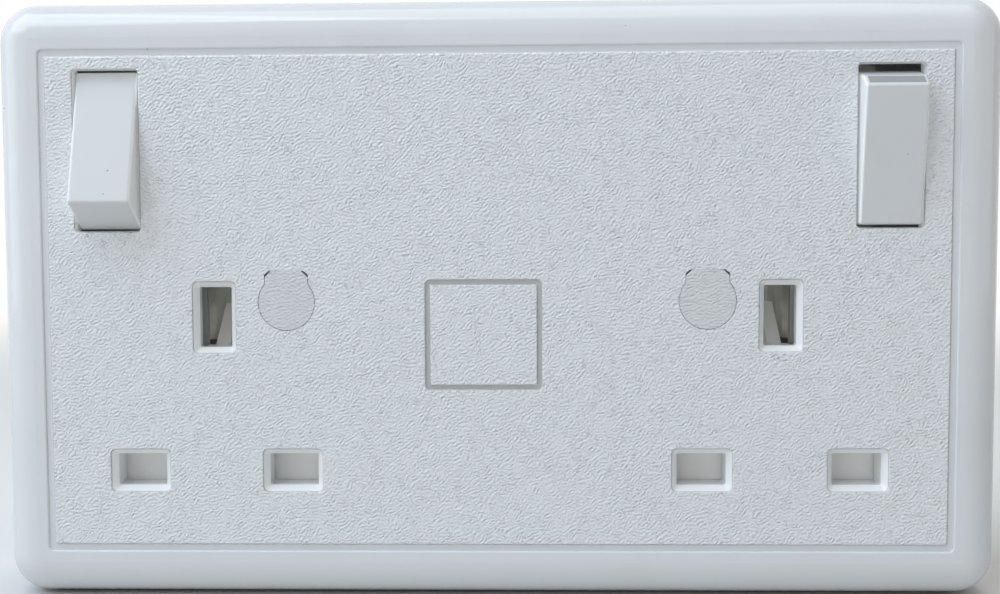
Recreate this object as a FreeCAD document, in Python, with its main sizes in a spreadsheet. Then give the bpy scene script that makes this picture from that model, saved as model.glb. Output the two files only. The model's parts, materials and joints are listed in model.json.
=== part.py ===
import FreeCAD, Part
import math
import os
import Sketcher
from FreeCAD import Placement, Rotation, Vector

# Twin switched socket outlet in a deep shell that fixes to a single wall box.
# Working frame: X to the right, Y up the plate, Z out from the wall, zero at the middle of the rear rim.
# Each piece is then turned a quarter turn about X, so that the front looks along minus Y and Z is up.

# Driving sizes in millimetres and degrees
SIZES = {
    "plate_width": (145.2, "width of the shell at the wall"),
    "plate_height": (87, "height of the shell at the wall"),
    "depth": (28, "wall to front face"),
    "draft": (1, "taper of the shell sides"),
    "corner_radius": (6, "corners of the shell seen from the front"),
    "edge_radius": (5.2, "rounding between the front and the sides"),
    "front_round": (0.28, "rounding of the edges of grooves, windows and slots"),
    "side_wall": (2.4, "side wall thickness at the rear rim"),
    "front_wall": (3, "front wall thickness"),
    "root": (0.5, "how far an inner rib is rooted in the front wall"),
    "border_side": (8, "side of the plate to the textured panel"),
    "border_end": (8.15, "top and bottom of the plate to the textured panel"),
    "groove_width": (0.85, "groove between panel and border"),
    "groove_depth": (0.35, "depth of the front grooves"),
    "groove_corner": (0.3, "inner corners of the front grooves"),
    "groove_outer": (0.6, "outer corners of the front grooves"),
    "frame_x": (-1.8, "middle of the small square groove"),
    "frame_y": (-4.8, "middle of the small square groove"),
    "frame_width": (16.6, "outer width of the small square groove"),
    "frame_height": (15.7, "outer height of the small square groove"),
    "frame_groove": (0.55, "width of the small square groove"),
    "outlet_out": (10.45, "fixing hole to the middle of the outlet beside it"),
    "pin_inset": (19.1, "bottom of the plate to the live and neutral slots"),
    "pin_pitch": (22.23, "live to neutral, and that line to earth"),
    "slot_width": (7.05, "live and neutral slot width"),
    "slot_height": (4.6, "live and neutral slot height"),
    "earth_width": (4.65, "earth slot width"),
    "earth_height": (8.7, "earth slot height"),
    "flare": (0.86, "width of the bevel around a slot"),
    "flare_depth": (1.25, "depth of the bevel around a slot"),
    "flare_corner": (0.8, "corners of the bevel around a slot"),
    "slot_corner": (0.25, "corners of a slot"),
    "slot_depth": (5.4, "front face to the end of a live or neutral slot's wall"),
    "collar_wall": (1.5, "wall around a live or neutral slot behind the front"),
    "rocker_inset": (16.8, "side of the plate to the middle of a rocker"),
    "rocker_below": (21.7, "top of the plate to the rocker pivots"),
    "window_width": (9.4, "rocker window width"),
    "window_height": (23, "rocker window height"),
    "window_corner": (0.5, "corners of a rocker window"),
    "window_lip": (1.4, "front wall thickness at the ends of a window"),
    "window_relief": (1.2, "how far the back of a window is longer at each end"),
    "rocker_gap": (0.25, "gap at each side of a rocker"),
    "rocker_tilt": (14, "tilt of a rocker each way"),
    "pivot_depth": (4.8, "front face to the rocker pivot"),
    "rocker_top": (10.05, "pivot to the upper edge of the rocker face"),
    "rocker_rise": (6.1, "pivot height of that edge"),
    "rocker_low": (9.5, "pivot to the lower edge of the rocker face"),
    "low_rise": (7.6, "pivot height of that edge"),
    "rocker_toe": (11.6, "pivot to the lower end of a rocker"),
    "rocker_heel": (10.9, "pivot to the upper end of a rocker"),
    "heel_rise": (3.8, "pivot height of the edge on the upper end"),
    "rocker_skirt": (2.2, "pivot to the lower edge of the rocker sides"),
    "rocker_skin": (1.4, "rocker wall thickness"),
    "rocker_round": (0.45, "rounding of the rocker face edges"),
    "strip_start": (0.06, "share of the upper end below the indicator strip"),
    "strip_end": (0.8, "share of the upper end up to the strip's outer edge"),
    "strip_side": (0.55, "indicator strip to the rocker's sides"),
    "strip_depth": (0.5, "depth of the indicator strip"),
    "trunnion_radius": (1.25, "rocker pivot pin"),
    "trunnion_gap": (0.05, "running clearance of the rocker pivot pin"),
    "cheek_thick": (1.6, "plates that carry a rocker"),
    "cheek_length": (10, "plates that carry a rocker"),
    "cheek_drop": (3.2, "pivot to the rear edge of the plates"),
    "stem_radius": (2.7, "rocker stem"),
    "stem_drop": (8.5, "pivot to the end of the stem"),
    "bore_radius": (1.75, "bore of the stem"),
    "bore_top": (2, "end of the bore past the pivot"),
    "plunger_radius": (1.6, "plunger in the stem"),
    "plunger_head": (6.2, "pivot to the spring end of the plunger"),
    "plunger_drop": (14.5, "pivot to the nose of the plunger"),
    "nose_round": (1.5, "rounding of the plunger nose"),
    "nose_gap": (0.25, "nose to the rocking contact at mid travel"),
    "arm_length": (8.5, "arm of the rocking contact"),
    "arm_angle": (12, "upward slope of each arm"),
    "contact_swing": (5, "swing of the rocking contact each way"),
    "blade_thick": (0.8, "rocking contact thickness"),
    "blade_width": (5.4, "rocking contact width"),
    "lug_radius": (0.5, "pivot lugs of the rocking contact"),
    "lug_length": (1.2, "pivot lugs of the rocking contact"),
    "lug_gap": (0.05, "clearance of the lugs in their notches"),
    "ear_gap": (0.2, "rocking contact to the ears beside it"),
    "ear_thick": (0.9, "ears that carry the rocking contact"),
    "ear_length": (4, "ears that carry the rocking contact"),
    "tip_reach": (7.5, "fulcrum to the contact tip"),
    "tip_radius": (1.3, "contact tips"),
    "tip_thick": (0.6, "contact tips"),
    "tip_gap": (0.1, "closed contact tips, apart by"),
    "fix_pitch": (60.3, "wall fixing centres"),
    "fix_radius": (2, "wall fixing holes"),
    "head_radius": (3.7, "recess for the head of a fixing screw"),
    "head_seat": (8, "wall to the seat of a fixing screw"),
    "tube_radius": (5.6, "tube around a fixing screw"),
    "cap_radius": (4.05, "screw cover"),
    "cap_gap": (0.06, "gap around a screw cover"),
    "cap_thick": (2, "screw cover"),
    "cap_round": (0.06, "rounding of a screw cover's front edge"),
    "tab_half": (3.1, "half width of the tab on a screw cover"),
    "tab_shoulder": (3.6, "height of the tab's shoulders"),
    "tab_top": (4.5, "height of the tab's flat top"),
    "tab_flat": (2.15, "half width of the tab's flat top"),
    "tab_corner": (0.35, "room at the tab's sloping corners"),
    "plug_gap": (0.15, "screw cover plug in its recess"),
    "plug_length": (4, "screw cover plug"),
    "plug_wall": (1, "screw cover plug"),
    "cover_recess": (0.8, "wall to the rear cover"),
    "cover_thick": (2.4, "rear cover thickness"),
    "cover_gap": (0.25, "rear cover to the shell"),
    "boss_radius": (3.3, "bosses for the cover screws"),
    "pilot_radius": (1.2, "pilot holes in the bosses"),
    "pilot_depth": (9, "pilot holes in the bosses"),
    "screw_radius": (1.1, "cover screws"),
    "screw_length": (8, "cover screws past the cover"),
    "screw_head_radius": (1.9, "cover screw heads"),
    "screw_head": (1.3, "cover screw heads"),
    "head_gap": (0.15, "clearance around a cover screw head"),
    "drive_width": (0.8, "screw slots"),
    "drive_depth": (0.7, "screw slots"),
    "bar_thick": (1, "contact strips"),
    "rail_width": (3, "contact strips"),
    "rail_gap": (2, "between contact strips"),
    "live_inset": (9, "top of the plate to the live bar"),
    "neutral_inset": (8, "bottom of the plate to the neutral bar"),
    "load_offset": (1.6, "live strips outboard of the rockers"),
    "riser_width": (5, "fixed contact arms"),
    "riser_thick": (0.8, "fixed contact arms"),
    "riser_over": (1.8, "fixed contact arm past its tip"),
    "block_length": (11, "terminal block"),
    "block_width": (8, "terminal block"),
    "block_height": (9, "terminal block"),
    "wire_radius": (2.1, "wire hole of a terminal"),
    "wire_height": (5.5, "wire hole above the foot of its terminal"),
    "leg_width": (5, "strips under the terminals"),
    "thread_radius": (1.75, "terminal screws"),
    "thread_gap": (0.1, "terminal screws in their blocks"),
    "clamp_length": (5.4, "terminal screws past the head"),
    "clamp_head_radius": (2.8, "terminal screw heads"),
    "clamp_head": (1.6, "terminal screw heads"),
    "access_gap": (0.5, "hole in the cover around a terminal screw"),
    "leg_hole_gap": (0.4, "strip hole around a terminal screw"),
    "terminal_x": (8, "terminals from the middle of the plate"),
    "terminal_reach": (12, "live or neutral bar to the middle of its terminal"),
    "entry_width": (8.5, "wire openings in the rear cover"),
    "entry_height": (9, "wire openings in the rear cover"),
    "entry_gap": (0.5, "terminal to its wire opening"),
    "clip_gap": (4.1, "between the leaves of a pin contact"),
    "leaf": (0.8, "leaf thickness of a pin contact"),
    "clip_width": (6, "live and neutral pin contacts"),
    "earth_clip_width": (8, "earth pin contacts"),
    "mouth_gap": (0.5, "pin contact to the retainer"),
    "lip_out": (0.6, "outward flare of a contact leaf"),
    "lip_length": (1.5, "flared length of a contact leaf"),
    "shutter_gap": (0.2, "shutter to the walls in front of it and behind it"),
    "shutter_thick": (1.8, "shutter thickness"),
    "shutter_over": (0.7, "shutter above a slot"),
    "shutter_under": (1.2, "shutter below a slot"),
    "shutter_side": (0.95, "shutter beside a slot"),
    "shutter_spare": (0.3, "travel past the open position"),
    "stalk_half": (2.2, "half width of the shutter stalk"),
    "ramp_width": (2, "shutter ramp"),
    "ramp_wall": (1.2, "shutter ramp"),
    "ramp_drop": (8.4, "shutter front to the tip of the ramp"),
    "peg_radius": (0.5, "spring peg on the shutter"),
    "peg_length": (2, "spring peg on the shutter"),
    "spring_length": (9.1, "shutter spring at rest"),
    "spring_coil": (0.85, "shutter spring, middle of the wire"),
    "spring_wire": (0.3, "shutter spring wire"),
    "spring_turns": (7, "shutter spring"),
    "plunger_coil": (1.3, "plunger spring, middle of the wire"),
    "plunger_wire": (0.4, "plunger spring wire"),
    "plunger_turns": (6, "plunger spring"),
    "end_gap": (0.05, "spring ends to their seats"),
    "seat_thick": (1.2, "ribs that stop the shutter and its spring"),
    "seat_width": (6, "rib behind the shutter spring"),
    "stop_x": (5.5, "shutter stops from the middle of the outlet"),
    "stop_width": (3, "shutter stops"),
    "stop_gap": (0.1, "shutter to its stops at rest"),
    "guide_gap": (0.25, "shutter to the guide ribs"),
    "guide_thick": (1.3, "guide ribs"),
    "guide_over": (7, "guide ribs above the shutter"),
    "retainer_thick": (1.6, "shutter retainer"),
    "retainer_half": (4.1, "half width of the retainer's stalk"),
    "retainer_over": (1.6, "retainer above the earth slot"),
    "pin_room": (0.3, "retainer windows around the slots"),
    "stake_radius": (0.5, "pins that locate the retainer"),
    "stake_gap": (0.1, "retainer holes around the pins"),
    "stake_over": (0.6, "pins past the retainer"),
}

doc = FreeCAD.newDocument("twin_socket")
sheet = doc.addObject("Spreadsheet::Sheet", "Sizes")
for row, (alias, (number, note)) in enumerate(SIZES.items(), 1):
    sheet.set(f"A{row}", note)
    sheet.set(f"B{row}", str(number))
    sheet.setAlias(f"B{row}", alias)
doc.recompute()


class Size:
    """A number together with the sheet expression that gives it."""

    def __init__(self, value, text):
        self.value = value
        self.text = text

    def __add__(self, other):
        other = as_size(other)
        return Size(self.value + other.value, f"({self.text} + {other.text})")

    def __sub__(self, other):
        other = as_size(other)
        return Size(self.value - other.value, f"({self.text} - {other.text})")

    def __mul__(self, other):
        other = as_size(other)
        return Size(self.value * other.value, f"({self.text} * {other.text})")

    def __truediv__(self, other):
        other = as_size(other)
        return Size(self.value / other.value, f"({self.text} / {other.text})")

    def __neg__(self):
        return Size(-self.value, f"(0 - {self.text})")

    def __radd__(self, other):
        return as_size(other) + self

    def __rsub__(self, other):
        return as_size(other) - self

    def __rmul__(self, other):
        return as_size(other) * self


class Sheet:
    """The sheet's cells by alias, each as a Size."""

    def __getattr__(self, alias):
        return Size(SIZES[alias][0], f"Sizes.{alias}")


def as_size(number):
    return number if isinstance(number, Size) else Size(number, f"({number})")


def sine(angle):
    return Size(math.sin(math.radians(angle.value)), f"sin({angle.text})")


def cosine(angle):
    return Size(math.cos(math.radians(angle.value)), f"cos({angle.text})")


def tie(item, name, number):
    item.setExpression(name, as_size(number).text)


# Shared heights and places worked out from the sizes
of = Sheet()
inside = of.depth - of.front_wall
cover_top = of.cover_recess + of.cover_thick
bar_top = cover_top + of.bar_thick
pivot = of.depth - of.pivot_depth
fulcrum = pivot - of.plunger_drop - of.nose_gap - of.blade_thick / 2
panel_width = of.plate_width - 2 * of.border_side
panel_height = of.plate_height - 2 * of.border_end
outlet_x = of.fix_pitch / 2 + of.outlet_out
rocker_x = of.plate_width / 2 - of.rocker_inset
rocker_y = of.plate_height / 2 - of.rocker_below
pin_line = of.pin_inset - of.plate_height / 2
half_pitch = of.pin_pitch / 2
earth_line = pin_line + of.pin_pitch
live_rail = of.plate_height / 2 - of.live_inset
neutral_rail = of.neutral_inset - of.plate_height / 2
earth_rail = -(of.tube_radius + of.rail_gap + of.rail_width / 2)
load_rail = earth_rail - of.rail_width - of.rail_gap
earth_terminal_y = earth_rail + (of.rail_width + of.entry_height) / 2 + of.stop_gap
slot_end = of.depth - of.slot_depth
shutter_front = slot_end - of.shutter_gap
shutter_back = shutter_front - of.shutter_thick
shutter_top = pin_line + of.slot_height / 2 + of.shutter_over
shutter_low = pin_line - of.slot_height / 2 - of.shutter_under
shutter_half = half_pitch + of.slot_width / 2 + of.shutter_side
shutter_travel = of.slot_height + of.shutter_over + of.shutter_spare
earth_low = earth_line - of.earth_height / 2
spring_seat = shutter_low - of.spring_length
retainer_front = shutter_back - of.shutter_gap
retainer_back = retainer_front - of.retainer_thick
mouth = retainer_back - of.mouth_gap
guide_middle = shutter_half + of.guide_gap + of.guide_thick / 2
guide_low = shutter_low - shutter_travel - of.peg_length * 0.75
guide_high = shutter_top + of.guide_over
stake_ends = (guide_low + 3 * of.stake_radius, guide_high - 3 * of.stake_radius)
cheek_half = of.window_width / 2 + of.cheek_thick
closed_angle = of.arm_angle - of.contact_swing
tip_drop = of.blade_thick / 2 + of.tip_thick
tip_low = fulcrum + of.tip_reach * sine(closed_angle) - tip_drop * cosine(closed_angle)
fixed_tip_top = tip_low - of.tip_radius * sine(closed_angle) - of.tip_gap
fixed_tip_y = rocker_y + of.tip_reach * cosine(closed_angle) + tip_drop * sine(closed_angle)
boss_inset = of.side_wall + of.boss_radius - of.root / 2
boss_x = of.plate_width / 2 - boss_inset
boss_y = of.plate_height / 2 - boss_inset
BOSSES = [(way * boss_x, side * boss_y) for way in (-1, 1) for side in (-1, 1)]
FIXINGS = [way * of.fix_pitch / 2 for way in (-1, 1)]
TERMINALS = {
    "live": (of.terminal_x, live_rail - of.terminal_reach, 1),
    "neutral": (of.terminal_x, neutral_rail + of.terminal_reach, 1),
    "earth": (-of.terminal_x, earth_terminal_y, -1),
}
SIDES = {"left": -1, "right": 1}
PLANES = {"XY": ("XY_Plane", 1), "YZ": ("YZ_Plane", 1), "XZ": ("XZ_Plane", -1)}


# Closed outlines for sketches
def ring(x, y, radius):
    return ("ring", as_size(x), as_size(y), radius)


def outline(*points):
    return ("outline", [(as_size(x), as_size(y)) for x, y in points])


def span(left, right, low, high):
    return outline((left, low), (right, low), (right, high), (left, high))


def block(x, y, width, height):
    x = as_size(x)
    y = as_size(y)
    return span(x - width / 2, x + width / 2, y - height / 2, y + height / 2)


def rounded(x, y, width, height, radius):
    return ("rounded", as_size(x), as_size(y), width / 2, height / 2, radius)


def fixed(curve, end, x, y):
    """Rules that hold one point of a curve."""
    return [
        (Sketcher.Constraint("DistanceX", -1, 1, curve, end, x.value), x),
        (Sketcher.Constraint("DistanceY", -1, 1, curve, end, y.value), y),
    ]


def joined(curve, after):
    """Rule that joins the end of one curve to the start of the next."""
    return [(Sketcher.Constraint("Coincident", curve, 2, after, 1), None)]


def sized(curve, radius):
    """Rule that holds the radius of a curve."""
    return [(Sketcher.Constraint("Radius", curve, radius.value), radius)]


def line(start, end):
    return Part.LineSegment(*[Vector(x.value, y.value, 0) for x, y in (start, end)])


def draw_ring(first, x, y, radius):
    circle = Part.Circle(Vector(x.value, y.value, 0), Vector(0, 0, 1), radius.value)
    return [circle], fixed(first, 3, x, y) + sized(first, radius)


def draw_outline(first, points):
    curves = []
    rules = []
    for place, start in enumerate(points):
        after = (place + 1) % len(points)
        curves.append(line(start, points[after]))
        rules += joined(first + place, first + after) + fixed(first + place, 1, *start)
    return curves, rules


def draw_rounded(first, x, y, half_width, half_height, radius):
    turns = [(1, -1), (1, 1), (-1, 1), (-1, -1)]
    short = half_width - radius
    low = half_height - radius
    arcs = []
    ends = []
    rules = []
    for place, (way, side) in enumerate(turns):
        across = (x + way * short, y + side * half_height)
        along = (x + way * half_width, y + side * low)
        start, end = (across, along) if place % 2 == 0 else (along, across)
        middle = Vector(across[0].value, along[1].value, 0)
        circle = Part.Circle(middle, Vector(0, 0, 1), radius.value)
        opening = math.radians(90 * place - 90)
        arcs.append(Part.ArcOfCircle(circle, opening, opening + math.pi / 2))
        ends.append((start, end))
        rules += fixed(first + place, 1, *start) + fixed(first + place, 2, *end)
        rules += sized(first + place, radius)
    lines = []
    for place in range(4):
        after = (place + 1) % 4
        lines.append(line(ends[place][1], ends[after][0]))
        rules += joined(first + place, first + 4 + place) + joined(first + 4 + place, first + after)
    return arcs + lines, rules


DRAWERS = {"ring": draw_ring, "outline": draw_outline, "rounded": draw_rounded}


# Bodies and features
def new_body(label):
    body = doc.addObject("PartDesign::Body", label)
    body.Label = label
    body.Placement = Placement(Vector(), Rotation(Vector(1, 0, 0), 90))
    return body


def set_on_pivot(body, x, y, z, turn):
    """Puts a body whose zero is its pivot at that place, turned about the pivot."""
    tie(body, "Placement.Base.x", x)
    tie(body, "Placement.Base.y", -z)
    tie(body, "Placement.Base.z", y)
    tie(body, "Placement.Rotation.Angle", 90 + turn)


def draw(body, plane, at, loops):
    role, way = PLANES[plane]
    sketch = body.newObject("Sketcher::SketchObject", f"{body.Name}_sketch")
    sketch.AttachmentSupport = [(next(p for p in body.Origin.OriginFeatures if p.Role == role), "")]
    sketch.MapMode = "FlatFace"
    tie(sketch, "AttachmentOffset.Base.z", way * as_size(at))
    curves = []
    rules = []
    for kind, *values in loops:
        more_curves, more_rules = DRAWERS[kind](len(curves), *values)
        curves += more_curves
        rules += more_rules
    sketch.addGeometry(curves, False)
    sketch.addConstraint([rule for rule, number in rules])
    for place, (rule, number) in enumerate(rules):
        if number:
            tie(sketch, f"Constraints[{place}]", number)
    return sketch


def pad(body, plane, at, length, *loops):
    """Adds the outlines from the height at, along the plane's normal."""
    feature = body.newObject("PartDesign::Pad", f"{body.Name}_pad")
    feature.Profile = draw(body, plane, at, loops)
    tie(feature, "Length", length)
    return feature


def pocket(body, plane, at, length, *loops, forward=False):
    """Cuts the outlines from the height at, against the plane's normal or along it."""
    feature = body.newObject("PartDesign::Pocket", f"{body.Name}_pocket")
    feature.Profile = draw(body, plane, at, loops)
    feature.Reversed = forward
    tie(feature, "Length", length)
    return feature


def round_top_face(body, feature, radius):
    """Rounds every edge of the face that lies furthest out."""
    doc.recompute()
    heights = [face.CenterOfMass.z for face in feature.Shape.Faces]
    return add_rounding(body, feature, [f"Face{heights.index(max(heights)) + 1}"], radius)


def round_edges(body, feature, radius, chosen):
    """Rounds the edges whose box is chosen."""
    doc.recompute()
    boxes = enumerate([edge.BoundBox for edge in feature.Shape.Edges], 1)
    return add_rounding(body, feature, [f"Edge{place}" for place, box in boxes if chosen(box)], radius)


def add_rounding(body, feature, names, radius):
    rounding = body.newObject("PartDesign::Fillet", f"{body.Name}_round")
    rounding.Base = (feature, names)
    tie(rounding, "Radius", radius)
    return rounding


def pin_slots(grow, corner):
    """The live and neutral slots, larger by grow on every side."""
    size = (of.slot_width + 2 * grow, of.slot_height + 2 * grow)
    pins = [side * outlet_x + way * half_pitch for side in SIDES.values() for way in (-1, 1)]
    return [rounded(x, pin_line, *size, corner) for x in pins]


def earth_slots(grow, corner):
    """The earth slots, larger by grow on every side."""
    size = (of.earth_width + 2 * grow, of.earth_height + 2 * grow)
    return [rounded(side * outlet_x, earth_line, *size, corner) for side in SIDES.values()]


def all_slots(grow, corner):
    return pin_slots(grow, corner) + earth_slots(grow, corner)


def frame_ring(x, y, width, height, line):
    inner = rounded(x, y, width - 2 * line, height - 2 * line, of.groove_corner)
    return [rounded(x, y, width, height, of.groove_outer), inner]


def tab(x, gap, corner):
    """The tab on top of a screw cover, larger by gap at its sides and by corner at its sloping corners."""
    half = of.tab_half + gap
    flat = of.tab_flat + corner
    low = as_size(0)
    top = of.tab_top
    shoulder = of.tab_shoulder + corner
    corners = [(half, low), (half, shoulder), (flat, top), (-flat, top), (-half, shoulder), (-half, low)]
    return outline(*[(x + across, up) for across, up in corners])


def make_faceplate():
    body = new_body("faceplate")
    shell = pad(body, "XY", 0, of.depth, rounded(0, 0, of.plate_width, of.plate_height, of.corner_radius))
    tie(shell, "TaperAngle", -of.draft)
    round_top_face(body, shell, of.edge_radius)
    cavity = rounded(
        0, 0,
        of.plate_width - 2 * of.side_wall,
        of.plate_height - 2 * of.side_wall,
        of.corner_radius - of.side_wall,
    )
    pocket(body, "XY", 0, inside, cavity, forward=True)

    # tubes, bosses, slot collars and rocker plates behind the front
    pad(body, "XY", 0, inside + of.root, *[ring(x, 0, of.tube_radius) for x in FIXINGS])
    pad(body, "XY", cover_top, inside + of.root - cover_top,
        *[ring(*spot, of.boss_radius) for spot in BOSSES])
    pad(body, "XY", slot_end, inside + of.root - slot_end, *pin_slots(of.collar_wall, of.flare_corner))
    cheeks = []
    guides = []
    seats = []
    stops = []
    stakes = []
    for side in SIDES.values():
        middle = side * outlet_x
        seats.append(block(middle, spring_seat - of.seat_thick / 2, of.seat_width, of.seat_thick))
        for way in (-1, 1):
            cheek = side * rocker_x + way * (of.window_width + of.cheek_thick) / 2
            cheeks.append(block(cheek, rocker_y, of.cheek_thick, of.cheek_length))
            guide = middle + way * guide_middle
            half = of.guide_thick / 2
            guides.append(span(guide - half, guide + half, guide_low, guide_high))
            stop = middle + way * of.stop_x
            low = shutter_top + of.stop_gap
            half = of.stop_width / 2
            stops.append(span(stop - half, stop + half, low, low + of.seat_thick))
            stakes += [ring(guide, end, of.stake_radius) for end in stake_ends]
    cheek_end = pivot - of.cheek_drop
    pad(body, "XY", cheek_end, inside + of.root - cheek_end, *cheeks)
    pad(body, "XY", retainer_front, inside + of.root - retainer_front, *guides)
    pad(body, "XY", retainer_front, inside + of.root - retainer_front, *seats)
    stop_end = shutter_back + of.shutter_thick / 3
    pad(body, "XY", stop_end, inside + of.root - stop_end, *stops)
    stake_end = retainer_back - of.stake_over
    pad(body, "XY", stake_end, retainer_front + of.root - stake_end, *stakes)

    # grooves, screw recesses and fixing holes
    grow = 2 * of.groove_width
    panel = frame_ring(0, 0, panel_width + grow, panel_height + grow, of.groove_width)
    frame = frame_ring(of.frame_x, of.frame_y, of.frame_width, of.frame_height, of.frame_groove)
    pocket(body, "XY", of.depth, of.groove_depth, *panel, *frame)
    pocket(body, "XY", of.depth, of.cap_thick, *[ring(x, 0, of.cap_radius + of.cap_gap) for x in FIXINGS])
    pocket(body, "XY", of.depth, of.cap_thick, *[tab(x, of.cap_gap, of.tab_corner) for x in FIXINGS])
    pocket(body, "XY", of.depth, of.depth - of.head_seat, *[ring(x, 0, of.head_radius) for x in FIXINGS])
    pocket(body, "XY", of.depth, of.depth + of.root, *[ring(x, 0, of.fix_radius) for x in FIXINGS])
    pocket(body, "XY", cover_top, of.pilot_depth,
           *[ring(*spot, of.pilot_radius) for spot in BOSSES], forward=True)

    # pin slots with a bevel around each
    pocket(body, "XY", of.depth, of.slot_depth + of.root, *pin_slots(as_size(0), of.slot_corner))
    pocket(body, "XY", of.depth, of.front_wall + of.root, *earth_slots(as_size(0), of.slot_corner))
    for wide, narrow in zip(all_slots(of.flare, of.flare_corner), all_slots(as_size(0), of.slot_corner)):
        bevel = body.newObject("PartDesign::SubtractiveLoft", "faceplate_bevel")
        bevel.Profile = draw(body, "XY", of.depth, [wide])
        bevel.Sections = [draw(body, "XY", of.depth - of.flare_depth, [narrow])]
        bevel.Ruled = True

    # rocker windows, longer behind the lip, and the pivot holes
    windows = [side * rocker_x for side in SIDES.values()]
    high = of.window_height + 2 * of.window_relief
    lip = of.front_wall - of.window_lip
    pocket(body, "XY", of.depth, of.front_wall + of.root,
           *[rounded(x, rocker_y, of.window_width, of.window_height, of.window_corner) for x in windows])
    pocket(body, "XY", of.depth - of.window_lip, lip,
           *[block(x, rocker_y, of.window_width, high) for x in windows])
    for x in windows:
        reach = cheek_half + of.root
        bearing = ring(rocker_y, pivot, of.trunnion_radius + of.trunnion_gap)
        last = pocket(body, "YZ", x + reach, 2 * reach, bearing)

    # soft edges on everything that is cut into the front, but for the screw recesses
    across = (panel_width / 2 + grow).value
    along = (panel_height / 2 + grow).value
    front = (of.depth - of.front_round / 2).value
    fixing = (of.fix_pitch / 2).value
    recess = (of.tab_top + of.cap_radius).value

    def is_soft(box):
        inner = max(-box.XMin, box.XMax) < across and max(-box.YMin, box.YMax) < along
        beside = abs(abs(box.Center.x) - fixing) + abs(box.Center.y) < recess
        return box.ZMin > front and inner and not (beside and box.DiagonalLength < 2 * recess)

    round_edges(body, last, of.front_round, is_soft)


def make_rear_cover():
    body = new_body("rear_cover")
    trim = 2 * of.side_wall + 2 * of.cover_gap
    corner = of.corner_radius - of.side_wall - of.cover_gap
    pad(body, "XY", of.cover_recess, of.cover_thick,
        rounded(0, 0, of.plate_width - trim, of.plate_height - trim, corner))
    holes = [ring(x, 0, of.tube_radius + of.cover_gap) for x in FIXINGS]
    holes += [ring(*spot, of.screw_radius + of.head_gap) for spot in BOSSES]
    for x, y, way in TERMINALS.values():
        holes.append(ring(x, y, of.clamp_head_radius + of.access_gap))
        entry = x + way * (of.block_length / 2 + of.entry_gap + of.entry_width / 2)
        holes.append(block(entry, y, of.entry_width, of.entry_height))
    pocket(body, "XY", cover_top, of.cover_thick, *holes)
    pocket(body, "XY", of.cover_recess, of.screw_head + of.stop_gap,
           *[ring(*spot, of.screw_head_radius + of.head_gap) for spot in BOSSES], forward=True)


def make_cover_screws():
    body = new_body("cover_screws")
    low = of.cover_recess + of.stop_gap
    pad(body, "XY", low, of.screw_head, *[ring(*spot, of.screw_head_radius) for spot in BOSSES])
    under = low + of.screw_head
    length = cover_top + of.screw_length - under
    pad(body, "XY", under, length, *[ring(*spot, of.screw_radius) for spot in BOSSES])
    arm = of.screw_head_radius * 1.3
    for width, height in ((arm, of.drive_width), (of.drive_width, arm)):
        pocket(body, "XY", low, of.drive_depth,
               *[block(*spot, width, height) for spot in BOSSES], forward=True)


def strip_profile(over):
    """Section of the indicator strip in a rocker's upper end, standing out by over."""
    lean = of.rocker_heel - of.rocker_top
    rise = of.rocker_rise - of.heel_rise
    low, high = [(of.rocker_heel - share * lean, of.heel_rise + share * rise)
                 for share in (of.strip_start, of.strip_end)]
    return outline((low[0] + over, low[1]), (high[0] + over, high[1]),
                   (high[0] - of.strip_depth, high[1]), (low[0] - of.strip_depth, low[1]))


def make_rocker(name, side):
    body = new_body(f"rocker_{name}")
    half = of.window_width / 2 - of.rocker_gap
    foot = of.rocker_skirt * 2
    profile = outline(
        (-of.rocker_low, of.low_rise),
        (-of.rocker_toe, of.rocker_skirt * 0.1),
        (-foot, -of.rocker_skirt),
        (foot, -of.rocker_skirt),
        (of.rocker_heel, of.rocker_skirt * 0.1),
        (of.rocker_heel, of.heel_rise),
        (of.rocker_top, of.rocker_rise),
    )
    solid = pad(body, "YZ", -half, 2 * half, profile)
    shoulder = (of.heel_rise - of.rocker_gap).value
    round_edges(body, solid, of.rocker_round, lambda box: box.ZMax > shoulder)
    hollow = of.rocker_rise - of.rocker_skin + of.rocker_skirt
    room = span(of.rocker_skin - half, half - of.rocker_skin,
                of.rocker_skin - of.rocker_low, of.rocker_top - of.rocker_skin)
    pocket(body, "XY", -of.rocker_skirt, hollow, room, forward=True)
    wide = half - of.strip_side
    pocket(body, "YZ", wide, 2 * wide, strip_profile(of.root))
    stem = of.rocker_rise - of.rocker_skin + of.stem_drop + of.root
    pad(body, "XY", -of.stem_drop, stem, ring(0, 0, of.stem_radius))
    pocket(body, "XY", -of.stem_drop, of.stem_drop + of.bore_top, ring(0, 0, of.bore_radius), forward=True)
    reach = cheek_half - of.rocker_gap - half + of.root
    pad(body, "YZ", half - of.root, reach, ring(0, 0, of.trunnion_radius))
    pad(body, "YZ", of.root - half - reach, reach, ring(0, 0, of.trunnion_radius))
    indicator = new_body(f"indicator_{name}")
    pad(indicator, "YZ", -wide, 2 * wide, strip_profile(as_size(0)))
    for piece in (body, indicator):
        set_on_pivot(piece, side * rocker_x, rocker_y, pivot, side * of.rocker_tilt)


def make_plunger(name, side):
    body = new_body(f"plunger_{name}")
    length = of.plunger_drop - of.plunger_head
    rod = pad(body, "XY", -of.plunger_drop, length, ring(0, 0, of.plunger_radius))
    doc.recompute()
    edges = [edge.CenterOfMass.z if edge.Closed else 0 for edge in rod.Shape.Edges]
    nose = body.newObject("PartDesign::Fillet", f"{body.Name}_nose")
    nose.Base = (rod, [f"Edge{edges.index(min(edges)) + 1}"])
    tie(nose, "Radius", of.nose_round)
    set_on_pivot(body, side * rocker_x, rocker_y, pivot, side * of.rocker_tilt)


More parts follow.
